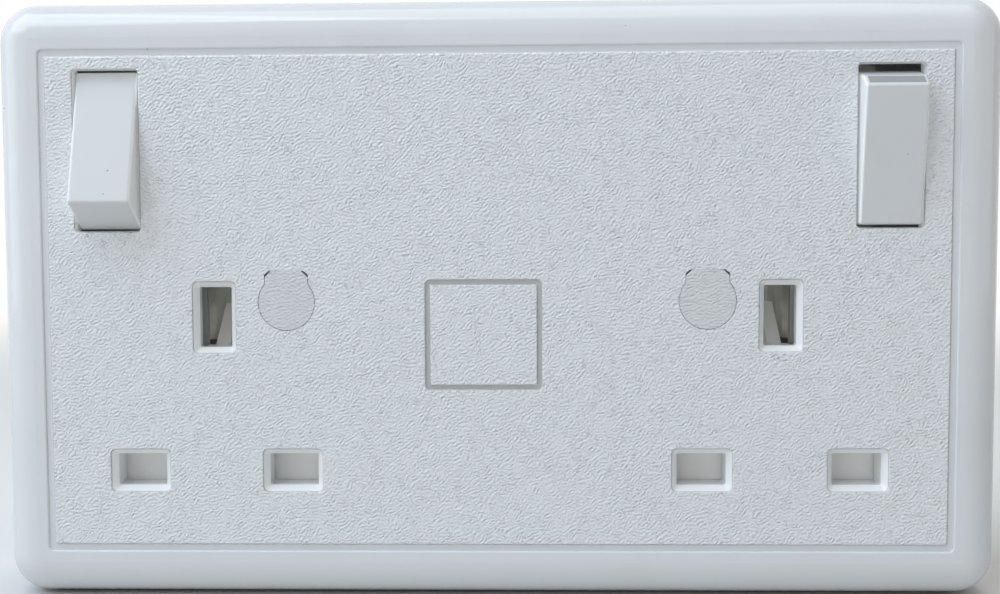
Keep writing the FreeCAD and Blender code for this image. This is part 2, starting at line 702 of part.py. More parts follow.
def make_spring(label, coil, wire, turns, low, high):
    """A coil spring along the body's Z between two heights."""
    body = new_body(label)
    length = high - low - wire - 2 * of.end_gap
    section = draw(body, "XZ", 0, [ring(coil, low + wire / 2 + of.end_gap, wire / 2)])
    helix = body.newObject("PartDesign::AdditiveHelix", f"{label}_coil")
    helix.Profile = section
    helix.ReferenceAxis = (section, ["V_Axis"])
    helix.Mode = "height-turns-angle"
    tie(helix, "Height", length)
    tie(helix, "Turns", turns)
    return body


def make_plunger_spring(name, side):
    body = make_spring(f"plunger_spring_{name}", of.plunger_coil, of.plunger_wire, of.plunger_turns,
                       -of.plunger_head, of.bore_top)
    set_on_pivot(body, side * rocker_x, rocker_y, pivot, side * of.rocker_tilt)


def make_moving_contact(name, side):
    body = new_body(f"moving_contact_{name}")
    rise = sine(of.arm_angle)
    run = cosine(of.arm_angle)
    half = of.blade_thick / 2
    out_low = (of.arm_length * run + half * rise, of.arm_length * rise - half * run)
    out_high = (of.arm_length * run - half * rise, of.arm_length * rise + half * run)
    profile = outline(
        (0, -half), out_low, out_high, (0, half),
        (-out_high[0], out_high[1]), (-out_low[0], out_low[1]),
    )
    pad(body, "YZ", -of.blade_width / 2, of.blade_width, profile)
    lug = of.blade_width / 2 + of.lug_length
    pad(body, "YZ", -lug, 2 * lug, ring(0, 0, of.lug_radius))
    swing = -side * of.contact_swing
    set_on_pivot(body, side * rocker_x, rocker_y, fulcrum, swing)

    # contact tip on the underside of the upper arm
    tip = new_body(f"moving_tip_{name}")
    pad(tip, "XY", -half - of.tip_thick, of.tip_thick, ring(0, of.tip_reach, of.tip_radius))
    set_on_pivot(tip, side * rocker_x, rocker_y, fulcrum, swing + of.arm_angle)


def strip(body, left, right, low, high):
    pad(body, "XY", cover_top, of.bar_thick, span(left, right, low, high))


def clip_profile(middle):
    """A bent strip with two leaves that open outward at the mouth."""
    gap = of.clip_gap / 2
    back = gap + of.leaf
    neck = mouth - of.lip_length
    half = [(back, cover_top), (back, neck), (back + of.lip_out, mouth), (gap + of.lip_out, mouth)]
    half += [(gap, neck), (gap, bar_top)]
    other = [(-across, up) for across, up in reversed(half)]
    return outline(*[(middle + across, up) for across, up in half + other])


def pin_clip(body, x):
    pad(body, "YZ", x - of.clip_width / 2, of.clip_width, clip_profile(pin_line))


def leg_hole(body, x, y):
    pocket(body, "XY", bar_top, of.bar_thick, ring(x, y, of.thread_radius + of.leg_hole_gap))


def make_live_bar():
    body = new_body("live_bar")
    half = of.rail_width / 2
    reach = rocker_x + of.riser_width / 2
    strip(body, -reach, reach, live_rail - half, live_rail + half)
    x, y, way = TERMINALS["live"]
    strip(body, x - of.leg_width / 2, x + of.leg_width / 2, y - of.block_width / 2, live_rail)
    shelf = fixed_tip_top - of.tip_thick
    under = shelf - of.riser_thick
    back = live_rail + of.riser_thick / 2
    near = back - of.riser_thick
    end = fixed_tip_y - of.riser_over
    foot = cover_top + of.bar_thick / 2
    profile = outline((back, foot), (back, shelf), (end, shelf), (end, under), (near, under), (near, foot))
    for side in SIDES.values():
        pad(body, "YZ", side * rocker_x - of.riser_width / 2, of.riser_width, profile)
    leg_hole(body, x, y)
    tips = new_body("fixed_contact_tips")
    pad(tips, "XY", shelf, of.tip_thick,
        *[ring(side * rocker_x, fixed_tip_y, of.tip_radius) for side in SIDES.values()])


def make_live_contact(name, side):
    body = new_body(f"live_contact_{name}")
    x = side * rocker_x
    ear = of.blade_width / 2 + of.ear_gap + of.ear_thick / 2
    wide = ear + of.ear_thick / 2
    deep = of.ear_length / 2
    strip(body, x - wide, x + wide, rocker_y - deep, rocker_y + deep)
    ears = [block(x + way * ear, rocker_y, of.ear_thick, of.ear_length) for way in (-1, 1)]
    pad(body, "XY", cover_top, fulcrum - cover_top, *ears)
    pocket(body, "YZ", x + wide + of.root, 2 * wide + 2 * of.root,
           ring(rocker_y, fulcrum, of.lug_radius + of.lug_gap))

    # run down beside the outlet to the live pin contact
    half = of.rail_width / 2
    drop = x + side * of.load_offset
    pin = side * outlet_x + half_pitch
    if side < 0:
        strip(body, drop - half, drop + half, load_rail - half, rocker_y)
        strip(body, drop - half, pin + half, load_rail - half, load_rail + half)
        strip(body, pin - half, pin + half, pin_line, load_rail)
    else:
        strip(body, drop - half, drop + half, pin_line - half, rocker_y)
        strip(body, pin, drop + half, pin_line - half, pin_line + half)
    pin_clip(body, pin)


def make_neutral_bar():
    body = new_body("neutral_bar")
    half = of.rail_width / 2
    left = -outlet_x - half_pitch
    right = outlet_x - half_pitch
    strip(body, left - half, right + half, neutral_rail - half, neutral_rail + half)
    for pin in (left, right):
        strip(body, pin - half, pin + half, neutral_rail, pin_line)
    x, y, way = TERMINALS["neutral"]
    strip(body, x - of.leg_width / 2, x + of.leg_width / 2, neutral_rail, y + of.block_width / 2)
    for pin in (left, right):
        pin_clip(body, pin)
    leg_hole(body, x, y)


def make_earth_bar():
    body = new_body("earth_bar")
    half = of.rail_width / 2
    strip(body, -outlet_x - half, outlet_x + half, earth_rail - half, earth_rail + half)
    for side in SIDES.values():
        x = side * outlet_x
        strip(body, x - half, x + half, earth_rail, earth_line)
        pad(body, "XZ", earth_line + of.earth_clip_width / 2, of.earth_clip_width, clip_profile(x))
    x, y, way = TERMINALS["earth"]
    strip(body, x - of.leg_width / 2, x + of.leg_width / 2, earth_rail, y + of.block_width / 2)
    leg_hole(body, x, y)


def make_terminals():
    for name, (x, y, way) in TERMINALS.items():
        body = new_body(f"terminal_{name}")
        pad(body, "XY", bar_top, of.block_height, block(x, y, of.block_length, of.block_width))
        reach = of.block_length / 2 + of.root
        pocket(body, "YZ", x + reach, 2 * reach, ring(y, bar_top + of.wire_height, of.wire_radius))
        thread = ring(x, y, of.thread_radius + of.thread_gap)
        pocket(body, "XY", bar_top, of.wire_height, thread, forward=True)
    screws = new_body("terminal_screws")
    spots = [(x, y) for x, y, way in TERMINALS.values()]
    low = cover_top - of.clamp_head
    pad(screws, "XY", low, of.clamp_head, *[ring(*spot, of.clamp_head_radius) for spot in spots])
    pad(screws, "XY", cover_top, of.clamp_length, *[ring(*spot, of.thread_radius) for spot in spots])
    pocket(screws, "XY", low, of.drive_depth,
           *[block(*spot, 3 * of.clamp_head_radius, of.drive_width) for spot in spots], forward=True)


def make_shutter(name, side):
    x = side * outlet_x
    body = new_body(f"shutter_{name}")
    foot = earth_low - of.shutter_gap
    tip = earth_low + shutter_travel
    tip_low = shutter_front - of.ramp_drop
    pad(body, "XY", shutter_back, of.shutter_thick,
        span(x - shutter_half, x + shutter_half, shutter_low, shutter_top))
    pad(body, "XY", shutter_back, of.shutter_thick,
        span(x - of.stalk_half, x + of.stalk_half, shutter_top - of.root, foot))
    ramp = outline((foot, shutter_front), (tip, tip_low), (tip - of.ramp_wall, tip_low - of.ramp_wall),
                   (foot - 2 * of.ramp_wall, shutter_back), (foot - of.ramp_wall, shutter_front))
    pad(body, "YZ", x - of.ramp_width / 2, of.ramp_width, ramp)
    middle = (shutter_front + shutter_back) / 2
    pad(body, "XZ", shutter_low + of.root, of.peg_length + of.root, ring(x, middle, of.peg_radius))

    # return spring between the shutter and its seat, and the retainer behind
    spring = make_spring(f"shutter_spring_{name}", of.spring_coil, of.spring_wire, of.spring_turns,
                         -of.spring_length, as_size(0))
    set_on_pivot(spring, x, shutter_low, middle, as_size(-90))
    retainer = new_body(f"shutter_retainer_{name}")
    half = guide_middle + of.guide_thick / 2
    retainer_top = earth_line + of.earth_height / 2 + of.retainer_over
    pad(retainer, "XY", retainer_back, of.retainer_thick, span(x - half, x + half, guide_low, guide_high))
    pad(retainer, "XY", retainer_back, of.retainer_thick,
        span(x - of.retainer_half, x + of.retainer_half, guide_high - of.root, retainer_top))
    room = 2 * of.pin_room
    holes = [block(x + way * half_pitch, pin_line, of.slot_width + room, of.slot_height + room)
             for way in (-1, 1)]
    slot = of.earth_width / 2 + of.pin_room
    ramp_low = foot - 2 * of.ramp_wall - shutter_travel - of.pin_room
    holes.append(span(x - slot, x + slot, ramp_low, earth_line + of.earth_height / 2 + of.pin_room))
    for way in (-1, 1):
        guide = x + way * guide_middle
        holes += [ring(guide, end, of.stake_radius + of.stake_gap) for end in stake_ends]
    pocket(retainer, "XY", retainer_front, of.retainer_thick, *holes)


def make_screw_cap(name, side):
    x = side * of.fix_pitch / 2
    body = new_body(f"screw_cap_{name}")
    low = of.depth - of.cap_thick
    pad(body, "XY", low, of.cap_thick, ring(x, 0, of.cap_radius))
    top = pad(body, "XY", low, of.cap_thick, tab(x, as_size(0), as_size(0)))
    round_top_face(body, top, of.cap_round)
    plug = of.head_radius - of.plug_gap
    pad(body, "XY", low - of.plug_length, of.plug_length + of.root, ring(x, 0, plug))
    pocket(body, "XY", low - of.plug_length, of.plug_length, ring(x, 0, plug - of.plug_wall), forward=True)


make_faceplate()
make_rear_cover()
make_cover_screws()
make_live_bar()
make_neutral_bar()
make_earth_bar()
make_terminals()
for name, side in SIDES.items():
    make_rocker(name, side)
    make_plunger(name, side)
    make_plunger_spring(name, side)
    make_moving_contact(name, side)
    make_live_contact(name, side)
    make_shutter(name, side)
    make_screw_cap(name, side)
doc.recompute()

# Each feature must be sound and each cut must take something away
for item in doc.Objects:
    if {"Invalid", "Error"} & set(item.State):
        raise RuntimeError(f"{item.Label} could not be computed")
    if item.TypeId in ("PartDesign::Pocket", "PartDesign::SubtractiveLoft"):
        if item.Shape.Volume > item.BaseFeature.Shape.Volume - 0.001:
            raise RuntimeError(f"{item.Label} cuts nothing")

os.makedirs("parts", exist_ok=True)
for item in doc.Objects:
    if item.TypeId == "PartDesign::Body":
        if item.Shape.isNull() or not item.Shape.isValid():
            raise RuntimeError(f"{item.Label} has no sound shape")
        item.Shape.exportStep(f"parts/{item.Label}.step")
        print(item.Label, len(item.Shape.Solids), round(item.Shape.Volume, 1))
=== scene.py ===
import json
import math

import bpy
from mathutils import Matrix, Vector


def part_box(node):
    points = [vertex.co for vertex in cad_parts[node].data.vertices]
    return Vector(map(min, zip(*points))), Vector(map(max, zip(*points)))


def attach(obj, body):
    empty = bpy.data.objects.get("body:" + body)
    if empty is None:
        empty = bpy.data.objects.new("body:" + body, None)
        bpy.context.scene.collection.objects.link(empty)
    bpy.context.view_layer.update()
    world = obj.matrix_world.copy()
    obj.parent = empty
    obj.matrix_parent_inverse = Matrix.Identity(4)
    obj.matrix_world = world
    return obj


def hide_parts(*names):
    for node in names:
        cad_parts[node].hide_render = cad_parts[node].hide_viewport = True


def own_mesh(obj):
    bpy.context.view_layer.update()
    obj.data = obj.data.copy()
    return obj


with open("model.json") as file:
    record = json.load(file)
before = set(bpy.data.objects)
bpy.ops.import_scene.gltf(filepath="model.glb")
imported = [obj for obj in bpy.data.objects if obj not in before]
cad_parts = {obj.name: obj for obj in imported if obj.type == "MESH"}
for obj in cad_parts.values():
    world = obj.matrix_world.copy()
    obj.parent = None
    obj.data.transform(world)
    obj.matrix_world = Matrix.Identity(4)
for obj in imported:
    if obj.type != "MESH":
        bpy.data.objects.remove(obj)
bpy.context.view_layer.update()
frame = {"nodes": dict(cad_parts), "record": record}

# Places in metres, taken from the frame
MM = 0.001
plate_low, plate_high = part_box("faceplate")
FRONT = plate_low.y
COVER_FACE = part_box("rear_cover")[1].y

# Places that the materials use, in millimetres
FACE = FRONT / MM
PANEL_HALF_WIDTH = 64.6
PANEL_HALF_HEIGHT = 35.35
PANEL_FADE = 0.25
FLAT_FROM = 0.02
FLAT_TO = 0.14
SUNK_FROM = 0.1
SUNK_TO = 0.3
SQUARE = (-1.8, -4.8)
SQUARE_HALF = (8.3, 7.85)
SQUARE_LINE = 0.55
SQUARE_FADE = 0.05
LIP_FROM = PANEL_HALF_HEIGHT - 0.4
LIP_TO = PANEL_HALF_HEIGHT - 0.25
ROCKER = (55.8, 21.8)
ROCKER_REACH = (6.0, 14.0)
ROCKER_FADE = 0.5
RAMP_FROM = -12.0
RAMP_TO = -9.0

# Depths of moulded grain, in metres
PANEL_GRAIN = 0.3 * MM
CAP_GRAIN = 0.2 * MM
ROCKER_GRAIN = 0.004 * MM
MATT_GRAIN = 0.02 * MM
METAL_GRAIN = 0.006 * MM
PLASTIC_IOR = 1.48


class Socket:
    """A socket of a material. Sums on it add Math nodes, and add() puts in any other node."""

    def __init__(self, tree, plug):
        self.tree = tree
        self.plug = plug

    def add(self, kind, settings, inputs, output=0):
        node = self.tree.nodes.new(kind)
        for name, value in settings.items():
            setattr(node, name, value)
        for name, value in inputs.items():
            if isinstance(value, Socket):
                self.tree.links.new(value.plug, node.inputs[name])
            else:
                node.inputs[name].default_value = value
        return Socket(self.tree, node.outputs[output] if node.outputs else None)

    def sum(self, operation, *values):
        return self.add("ShaderNodeMath", {"operation": operation}, dict(enumerate(values)))

    def __add__(self, other):
        return self.sum("ADD", self, other)

    def __sub__(self, other):
        return self.sum("SUBTRACT", self, other)

    def __mul__(self, other):
        return self.sum("MULTIPLY", self, other)

    def __radd__(self, other):
        return self.sum("ADD", other, self)

    def __rsub__(self, other):
        return self.sum("SUBTRACT", other, self)

    def __rmul__(self, other):
        return self.sum("MULTIPLY", other, self)

    def __abs__(self):
        return self.sum("ABSOLUTE", self)

    def between(self, low, high):
        """Rises smoothly from 0 at low to 1 at high."""
        return self.add("ShaderNodeMapRange", {"interpolation_type": "SMOOTHSTEP"},
                        {"Value": self, "From Min": low, "From Max": high})

    def noise(self, place, size, detail=2.0, roughness=0.5, output=0):
        """Soft noise whose blotches are about size millimetres wide."""
        inputs = {"Vector": place, "Scale": 1 / size, "Detail": detail, "Roughness": roughness}
        return self.add("ShaderNodeTexNoise", {}, inputs, output)

    def mix(self, mask, base, over):
        """The colour base, with the colour over laid on by the mask."""
        return self.add("ShaderNodeMix", {"data_type": "RGBA"}, {0: mask, 6: base, 7: over}, 2)

    def spot(self, across, up, place, radius):
        """1 within radius millimetres of a place on the front."""
        offset = self.add("ShaderNodeCombineXYZ", {}, {"X": across - place[0], "Y": up - place[1]})
        reach = self.add("ShaderNodeVectorMath", {"operation": "LENGTH"}, {"Vector": offset}, "Value")
        return 1 - reach.between(radius * 0.6, radius)

    def bump(self, height, depth):
        """A surface normal from a height between 0 and 1, depth metres deep."""
        return self.add("ShaderNodeBump", {}, {"Height": height, "Distance": depth, "Strength": 1.0})


def new_finish(name):
    """An empty material, its place in millimetres, and its three coordinates there."""
    material = bpy.data.materials.new(name)
    material.use_nodes = True
    tree = material.node_tree
    tree.nodes.clear()
    start = Socket(tree, None)
    place = start.add("ShaderNodeTexCoord", {}, {}, "Object")
    place = start.add("ShaderNodeVectorMath", {"operation": "SCALE"}, {"Vector": place, "Scale": 1 / MM})
    axes = [start.add("ShaderNodeSeparateXYZ", {}, {"Vector": place}, axis) for axis in "XYZ"]
    return material, place, axes


def surface(place, **inputs):
    """Ends a material in one glossy shader, whose inputs are given with _ for each space."""
    names = {name.replace("_", " "): value for name, value in inputs.items()}
    shader = place.add("ShaderNodeBsdfPrincipled", {}, names)
    place.add("ShaderNodeOutputMaterial", {}, {"Surface": shader})


def colour(red, green, blue):
    return (red, green, blue, 1.0)


# Colours, as linear light
WHITE = colour(0.70, 0.722, 0.757)
WHITE_WORN = colour(0.66, 0.678, 0.705)
CAP_WHITE = colour(0.65, 0.668, 0.70)
CAP_WORN = colour(0.61, 0.625, 0.65)
ROCKER_WHITE = colour(0.66, 0.68, 0.705)
ROCKER_WORN = colour(0.62, 0.635, 0.655)
# Dark grey for the strips on the rockers' ends.
DARK_STRIP_GREY = colour(0.30, 0.315, 0.32)
DARK_STRIP_WORN = colour(0.24, 0.25, 0.255)
COVER_GREY = colour(0.62, 0.635, 0.64)
COVER_WORN = colour(0.55, 0.56, 0.56)
SHUTTER_GREY = colour(0.78, 0.78, 0.77)
SHUTTER_WORN = colour(0.70, 0.70, 0.68)
PANEL_WHITE = colour(0.76, 0.783, 0.82)
RECESS_PAINTED_LIGHT = colour(0.88, 0.895, 0.91)
GROOVE_PAINTED_SHADE = colour(0.50, 0.51, 0.515)
LIP_PAINTED_HIGHLIGHT = colour(0.96, 0.97, 0.98)
ROCKER_SIDE_PAINTED_LIGHT = colour(0.90, 0.905, 0.91)
GAP_PAINTED_LIGHT = colour(0.085, 0.087, 0.083)
DEEP_PAINTED_LIGHT = colour(0.033, 0.035, 0.035)
RAMP_PAINTED_LIGHT = colour(0.11, 0.11, 0.10)
BLACK = colour(0.0, 0.0, 0.0)
DUST = colour(0.20, 0.20, 0.19)
PLATED = colour(0.72, 0.70, 0.65)
TARNISH = colour(0.52, 0.48, 0.41)
BRASS = colour(0.72, 0.53, 0.22)
BRASS_WORN = colour(0.50, 0.35, 0.13)
STEEL = colour(0.56, 0.57, 0.58)
STEEL_WORN = colour(0.40, 0.40, 0.39)
SILVER = colour(0.72, 0.72, 0.70)
SILVER_WORN = colour(0.45, 0.44, 0.42)


# Dust seen on the front: place across and up, and radius, in millimetres
PLATE_DUST = [((-71.0, 28.1), 0.13), ((-49.6, 36.2), 0.1), ((18.4, 38.9), 0.09), ((55.2, -31.4), 0.11)]
ROCKER_DUST = [((-54.7, 18.9), 0.14), ((-55.1, 15.6), 0.12), ((57.6, 20.5), 0.09)]


# Moulded plastic
def wrinkles(place, across, up, lean, spread):
    """Height of the wavy moulded grain: short ridges about 0.7 mm apart."""
    drift = place.noise(place, 2.6, 1.0, output="Color")
    drift = place.add("ShaderNodeVectorMath", {"operation": "SCALE"}, {"Vector": drift, "Scale": 0.9})
    flat = place.add("ShaderNodeCombineXYZ", {}, {"X": across, "Y": up})
    flat = place.add("ShaderNodeVectorMath", {"operation": "ADD"}, {0: flat, 1: drift})
    waves = place.add("ShaderNodeTexGabor", {"gabor_type": "2D"}, {
        "Vector": flat, "Scale": 1.25, "Frequency": 1.45, "Anisotropy": lean, "Orientation": spread})
    patches = place.noise(place, 3.2, 2.0)
    return waves * (0.5 + patches)


def specks(place, across, up, spots):
    """Specks of dust on the front, each a place and a radius in millimetres."""
    marks = [place.spot(across, up, spot, radius) for spot, radius in spots]
    for mark in marks[1:]:
        marks[0] = marks[0].sum("MAXIMUM", marks[0], mark)
    return marks[0]


def plate_plastic():
    material, place, (across, depth, up) = new_finish("plate_plastic")
    inside = 1 - abs(across).between(PANEL_HALF_WIDTH - PANEL_FADE, PANEL_HALF_WIDTH)
    inside = inside * (1 - abs(up).between(PANEL_HALF_HEIGHT - PANEL_FADE, PANEL_HALF_HEIGHT))
    panel = inside * (1 - depth.between(FACE + FLAT_FROM, FACE + FLAT_TO))
    height = wrinkles(place, across, up, 0.25, math.pi / 2) * panel
    peel = place.noise(place, 1.6, 1.0) * 0.01
    cloud = place.noise(place, 14.0, 3.0)
    paint = place.mix(cloud.between(0.45, 0.75) * 0.35, WHITE, WHITE_WORN)
    paint = place.mix(panel * 0.6, paint, PANEL_WHITE)
    # Faces sunk below the front (slot bevels and walls, groove floors) are painted lighter: painted light
    # for the light they catch.
    sunk = inside * depth.between(FACE + SUNK_FROM, FACE + SUNK_TO)
    paint = place.mix(sunk, paint, RECESS_PAINTED_LIGHT)
    # The square groove's floor is painted darker: painted shade standing in for the shadow in the groove.
    beside = abs(across - SQUARE[0]) - SQUARE_HALF[0]
    above = abs(up - SQUARE[1]) - SQUARE_HALF[1]
    edge = beside.sum("MAXIMUM", beside, above)
    groove_shade = edge.between(-SQUARE_LINE - SQUARE_FADE, -SQUARE_LINE) * (1 - edge.between(0.0, SQUARE_FADE))
    paint = place.mix(groove_shade * sunk, paint, GROOVE_PAINTED_SHADE)
    # A painted highlight: a light line along the panel's top edge.
    paint = place.mix(inside * up.between(LIP_FROM, LIP_TO), paint, LIP_PAINTED_HIGHLIGHT)
    paint = place.mix(specks(place, across, up, PLATE_DUST), paint, DUST)
    rough = 0.07 + 0.29 * panel + 0.04 * place.noise(place, 5.0)
    # Painted light: the walls of the rocker windows glow faintly, so the gaps round the rockers are less
    # dark.
    window = 1 - abs(abs(across) - ROCKER[0]).between(ROCKER_REACH[0], ROCKER_REACH[0] + ROCKER_FADE)
    window = window * (1 - abs(up - ROCKER[1]).between(ROCKER_REACH[1], ROCKER_REACH[1] + ROCKER_FADE))
    glow = place.mix(window * sunk, BLACK, GAP_PAINTED_LIGHT)
    surface(place, Base_Color=paint, Roughness=rough, IOR=PLASTIC_IOR, Emission_Color=glow,
            Emission_Strength=1.0, Normal=place.bump(height + peel, PANEL_GRAIN))
    return material


def cap_plastic():
    material, place, (across, depth, up) = new_finish("cap_plastic")
    top = 1 - depth.between(FACE + FLAT_FROM, FACE + FLAT_TO)
    height = wrinkles(place, across, up, 0.55, math.pi / 2) * top
    paint = place.mix(place.noise(place, 5.0, 3.0).between(0.4, 0.7) * 0.5, CAP_WHITE, CAP_WORN)
    surface(place, Base_Color=paint, Roughness=0.38, IOR=PLASTIC_IOR, Normal=place.bump(height, CAP_GRAIN))
    return material


def rocker_plastic():
    material, place, (across, depth, up) = new_finish("rocker_plastic")
    peel = place.noise(place, 0.9, 2.0)
    cloud = place.noise(place, 6.0, 3.0)
    paint = place.mix(cloud.between(0.45, 0.75) * 0.35, ROCKER_WHITE, ROCKER_WORN)
    # Painted light: faces turned to the side are painted lighter, for the light that falls on the rockers'
    # sides.
    facing = place.add("ShaderNodeTexCoord", {}, {}, "Normal")
    facing = abs(place.add("ShaderNodeSeparateXYZ", {}, {"Vector": facing}, "X"))
    side = facing.between(0.3, 0.8)
    paint = place.mix(side, paint, ROCKER_SIDE_PAINTED_LIGHT)
    paint = place.mix(specks(place, across, up, ROCKER_DUST), paint, DUST)
    rough = 0.26 + 0.08 * cloud
    # Painted light: the rockers' sides near the plate glow faintly.
    glow = place.mix(side * depth.between(FACE, FACE + ROCKER_FADE), BLACK, DEEP_PAINTED_LIGHT)
    surface(place, Base_Color=paint, Roughness=rough, IOR=PLASTIC_IOR, Emission_Color=glow,
            Emission_Strength=1.0, Normal=place.bump(peel, ROCKER_GRAIN))
    return material


def matt_plastic(name, clean, worn, grain, ramp_painted_light=BLACK):
    """Matt plastic, with painted light (a faint glow) on the shutter's ramp, which lies above the pin
    slots.
    """
    material, place, axes = new_finish(name)
    pits = place.noise(place, grain, 2.0, 0.6)
    cloud = place.noise(place, 9.0, 4.0)
    paint = place.mix(cloud.between(0.4, 0.7) * 0.3, clean, worn)
    rough = 0.5 + 0.2 * cloud
    # Painted light: the shutter glows faintly from the ramp upward.
    glow = place.mix(axes[2].between(RAMP_FROM, RAMP_TO), BLACK, ramp_painted_light)
    surface(place, Base_Color=paint, Roughness=rough, IOR=PLASTIC_IOR, Emission_Color=glow,
            Emission_Strength=1.0, Normal=place.bump(pits, MATT_GRAIN))
    return material


# Metals
def rolled_metal(name, clean, worn, rough, grain, glow=BLACK):
    """Metal with fine drawn lines and dull patches."""
    material, place, (across, depth, up) = new_finish(name)
    lines = place.add("ShaderNodeCombineXYZ", {}, {"X": across * 0.2, "Y": depth * 4.0, "Z": up * 4.0})
    lines = place.noise(lines, grain, 2.0)
    cloud = place.noise(place, 4.0, 4.0, 0.6)
    paint = place.mix(cloud.between(0.45, 0.75), clean, worn)
    dull = rough + 0.18 * cloud + 0.1 * lines
    surface(place, Base_Color=paint, Metallic=1.0, Roughness=dull, Emission_Color=glow,
            Emission_Strength=1.0, Normal=place.bump(lines, METAL_GRAIN))
    return material


FINISHES = {
    "front_plastic": plate_plastic(),
    "rocker_plastic": rocker_plastic(),
    "indicator_plastic": matt_plastic("indicator_plastic", DARK_STRIP_GREY, DARK_STRIP_WORN, 0.3),
    "cover_plastic": matt_plastic("cover_plastic", COVER_GREY, COVER_WORN, 0.5),
    "shutter_plastic": matt_plastic("shutter_plastic", SHUTTER_GREY, SHUTTER_WORN, 0.35, RAMP_PAINTED_LIGHT),
    # The contacts get a faint glow: painted light.
    "contact_metal": rolled_metal("contact_metal", PLATED, TARNISH, 0.25, 0.6, DEEP_PAINTED_LIGHT),
    "terminal_brass": rolled_metal("terminal_brass", BRASS, BRASS_WORN, 0.22, 0.8),
    "steel": rolled_metal("steel", STEEL, STEEL_WORN, 0.28, 0.7),
    "tip_metal": rolled_metal("tip_metal", SILVER, SILVER_WORN, 0.3, 0.4),
}
for subpart in frame["record"]["subparts"]:
    frame["nodes"][subpart["node"]].material_slots[0].material = FINISHES[subpart["material_slot"]]
cap_finish = cap_plastic()
for name in ("screw_cap_left", "screw_cap_right"):
    frame["nodes"][name].material_slots[0].material = cap_finish


# Moulded details on the rear cover: sizes in metres, places across and up in millimetres
SUNK = 0.1 * MM
RIM_RISE = 0.5 * MM
ENTRY_WIDTH = 8.5 * MM
ENTRY_HEIGHT = 9.0 * MM
ENTRY_RIM = 1.1 * MM
ENTRY_CORNER = 1.2 * MM
ENTRIES = {"live": (18.25, 22.5), "neutral": (18.25, -23.5), "earth": (-18.25, -3.0)}
BEAD_WIDTH = 125.0 * MM
BEAD_HEIGHT = 67.0 * MM
BEAD_LINE = 0.9 * MM
BEAD_RISE = 0.35 * MM
BEAD_CORNER = 4.0 * MM
PAD_RADIUS = 2.6 * MM
PAD_RISE = 0.2 * MM
PAD_LIP = 0.5 * MM
PADS = [(-52.0, 26.0), (-52.0, -26.0), (-4.0, 28.0), (-4.0, -28.0), (52.0, 26.0), (52.0, -26.0)]


def hang(piece):
    """Hangs a detail on the rear cover."""
    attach(piece, "housing")


def soften(piece, edge):
    """Rounds the edges of a detail and gives it the cover's plastic."""
    rounding = piece.modifiers.new("edges", "BEVEL")
    rounding.width = edge
    rounding.segments = 3
    bpy.ops.object.modifier_apply(modifier="edges")
    bpy.ops.object.shade_smooth_by_angle(angle=math.radians(40))
    piece.data.materials.append(FINISHES["cover_plastic"])


def raised_rim(name, middle, width, height, line, rise, corner):
    """A flat rim with rounded corners, standing out from the cover's face."""
    bpy.ops.object.select_all(action="DESELECT")
    place = (middle[0], COVER_FACE - SUNK, middle[1])
    bpy.ops.mesh.primitive_plane_add(size=1, location=place, rotation=(-math.pi / 2, 0, 0))
    piece = bpy.context.object
    piece.name = name
    piece.scale = (width, height, 1)
    bpy.ops.object.transform_apply(location=True, rotation=True, scale=True)
    bpy.ops.object.mode_set(mode="EDIT")
    bpy.ops.mesh.select_all(action="SELECT")
    bpy.ops.mesh.bevel(offset=corner, segments=6, affect="VERTICES")
    bpy.ops.mesh.select_all(action="SELECT")
    bpy.ops.mesh.inset(thickness=line)
    bpy.ops.mesh.delete(type="FACE")
    bpy.ops.object.mode_set(mode="OBJECT")
    wall = piece.modifiers.new("wall", "SOLIDIFY")
    wall.thickness = rise + SUNK
    wall.offset = 1
    bpy.ops.object.modifier_apply(modifier="wall")
    soften(piece, rise * 0.3)
    hang(piece)


def dished_pad(name, middle):
    """A round pad with a lip, left by a mould's pin."""
    bpy.ops.object.select_all(action="DESELECT")
    place = (middle[0], COVER_FACE + (PAD_RISE - SUNK) / 2, middle[1])
    bpy.ops.mesh.primitive_cylinder_add(vertices=64, radius=PAD_RADIUS, depth=PAD_RISE + SUNK,
                                        location=place, rotation=(-math.pi / 2, 0, 0))
    piece = bpy.context.object
    piece.name = name
    bpy.ops.object.transform_apply(location=True, rotation=True)
    bpy.context.tool_settings.mesh_select_mode = (False, False, True)
    bpy.ops.object.mode_set(mode="EDIT")
    bpy.ops.mesh.select_all(action="DESELECT")
    bpy.ops.object.mode_set(mode="OBJECT")
    for face in piece.data.polygons:
        face.select = face.normal.y > 0.9
    bpy.ops.object.mode_set(mode="EDIT")
    bpy.ops.mesh.inset(thickness=PAD_LIP)
    bpy.ops.transform.translate(value=(0, -PAD_RISE * 0.7, 0))
    bpy.ops.object.mode_set(mode="OBJECT")
    soften(piece, PAD_RISE * 0.25)
    return piece


def copy_pad(pad, name, across, up):
    """A copy of a pad, moved along the cover's face."""
    copy = pad.copy()
    copy.data = pad.data.copy()
    copy.data.transform(Matrix.Translation((across, 0, up)))
    copy.name = name
    bpy.context.scene.collection.objects.link(copy)
    return copy


for wire, (across, up) in ENTRIES.items():
    raised_rim(f"entry_rim_{wire}", (across * MM, up * MM), ENTRY_WIDTH + 2 * ENTRY_RIM,
               ENTRY_HEIGHT + 2 * ENTRY_RIM, ENTRY_RIM, RIM_RISE, ENTRY_CORNER)
raised_rim("cover_bead", (0, 0), BEAD_WIDTH, BEAD_HEIGHT, BEAD_LINE, BEAD_RISE, BEAD_CORNER)
first_across, first_up = PADS[0]
first_pad = dished_pad("cover_pad_1", (first_across * MM, first_up * MM))
hang(first_pad)
for number, (across, up) in enumerate(PADS[1:], 2):
    hang(copy_pad(first_pad, f"cover_pad_{number}", (across - first_across) * MM, (up - first_up) * MM))


